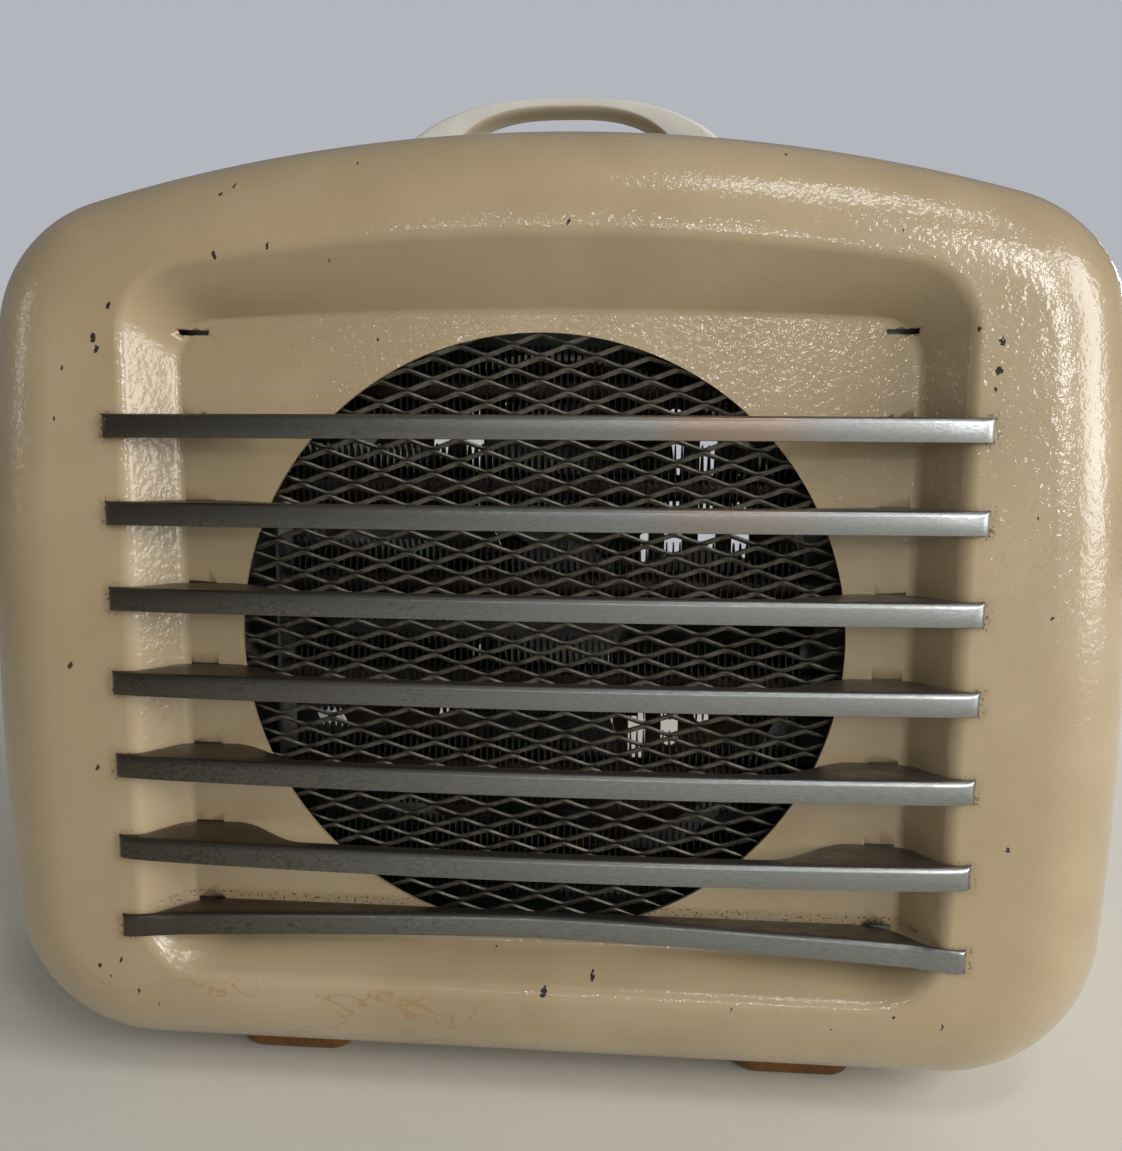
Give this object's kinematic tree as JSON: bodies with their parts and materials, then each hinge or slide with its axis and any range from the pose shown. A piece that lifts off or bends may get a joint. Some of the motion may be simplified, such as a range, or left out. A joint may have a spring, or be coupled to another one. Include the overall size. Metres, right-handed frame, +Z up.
{
  "type": "fan heater",
  "caption": "Portable electric fan heater in a drawn steel case, with louvre bars over a meshed round outlet, a carrying handle, rubber feet and a turning fan and switch knob.",
  "frame": {"origin": "on the surface that the feet stand on, under the middle of the overall box", "axes": "+X to the right seen from the front, -Y to the front where the air comes out, +Z up"},
  "size_m": [0.357, 0.2018, 0.335],
  "materials": {
    "cream_enamel": "glossy cream stove enamel on steel, slightly orange-peeled and chipped",
    "bar_aluminium": "worn brushed aluminium",
    "mesh_steel": "dull expanded steel, bronze grey",
    "felt": "pressed grey felt",
    "zinc_sheet": "zinc-plated sheet",
    "element_steel": "heat-stained steel",
    "screw_steel": "nickel-plated steel",
    "ceramic": "glazed white steatite",
    "brass": "turned brass",
    "bronze": "sintered bronze",
    "bakelite": "black-brown moulded bakelite",
    "fan_aluminium": "pressed or die-cast aluminium",
    "shaft_steel": "ground steel",
    "lamination_steel": "varnished laminations",
    "coil_varnish": "varnished copper winding",
    "foot_rubber": "brown moulded rubber"
  },
  "bodies": {
    "root": {"case_shell": "cream_enamel", "louvre_bar_1": "bar_aluminium", "louvre_bar_2": "bar_aluminium", "louvre_bar_3": "bar_aluminium", "louvre_bar_4": "bar_aluminium", "louvre_bar_5": "bar_aluminium", "louvre_bar_6": "bar_aluminium", "louvre_bar_7": "bar_aluminium", "outlet_seal": "felt", "outlet_mesh": "mesh_steel", "heater_box": "zinc_sheet", "box_nuts": "screw_steel", "heating_element_1": "element_steel", "heating_element_2": "element_steel", "heating_element_3": "element_steel", "element_support": "zinc_sheet", "element_glands": "brass", "element_terminals": "screw_steel", "element_beads": "ceramic", "thermal_cutout": "bakelite", "cutout_screws": "screw_steel", "fan_shroud": "zinc_sheet", "shroud_screws": "screw_steel", "motor_strap": "zinc_sheet", "strap_screws": "screw_steel", "motor_grommets": "foot_rubber", "front_casting": "fan_aluminium", "rear_casting": "fan_aluminium", "bearing_front": "bronze", "bearing_rear": "bronze", "motor_stack": "lamination_steel", "coil_bobbin": "bakelite", "motor_coil": "coil_varnish", "motor_bolts": "screw_steel", "motor_nuts": "screw_steel", "handle": "cream_enamel", "handle_screws": "screw_steel", "foot_front_left": "foot_rubber", "foot_front_right": "foot_rubber", "foot_rear_left": "foot_rubber", "foot_rear_right": "foot_rubber", "foot_screws": "screw_steel", "foot_nuts": "screw_steel", "rear_cover": "cream_enamel", "cover_screws": "screw_steel", "switch_body": "bakelite", "switch_nut": "screw_steel", "inlet_body": "bakelite", "inlet_pins": "brass", "inlet_screws": "screw_steel"},
    "fan": {"fan_blades": "fan_aluminium", "fan_hub": "fan_aluminium", "hub_screw": "screw_steel", "motor_shaft": "shaft_steel", "motor_rotor": "lamination_steel"},
    "knob": {"switch_spindle": "shaft_steel", "switch_knob": "bakelite"}
  },
  "joints": [
    {"name": "fan_spin", "type": "hinge", "parent": "root", "child": "fan", "pos_m": [0, 0, 0.1465], "axis": [0, 1, 0], "continuous": true},
    {"name": "switch_turn", "type": "hinge", "parent": "root", "child": "knob", "pos_m": [0.118, 0.08265, 0.0665], "axis": [0, -1, 0], "range_deg": [0, 270]}
  ]
}
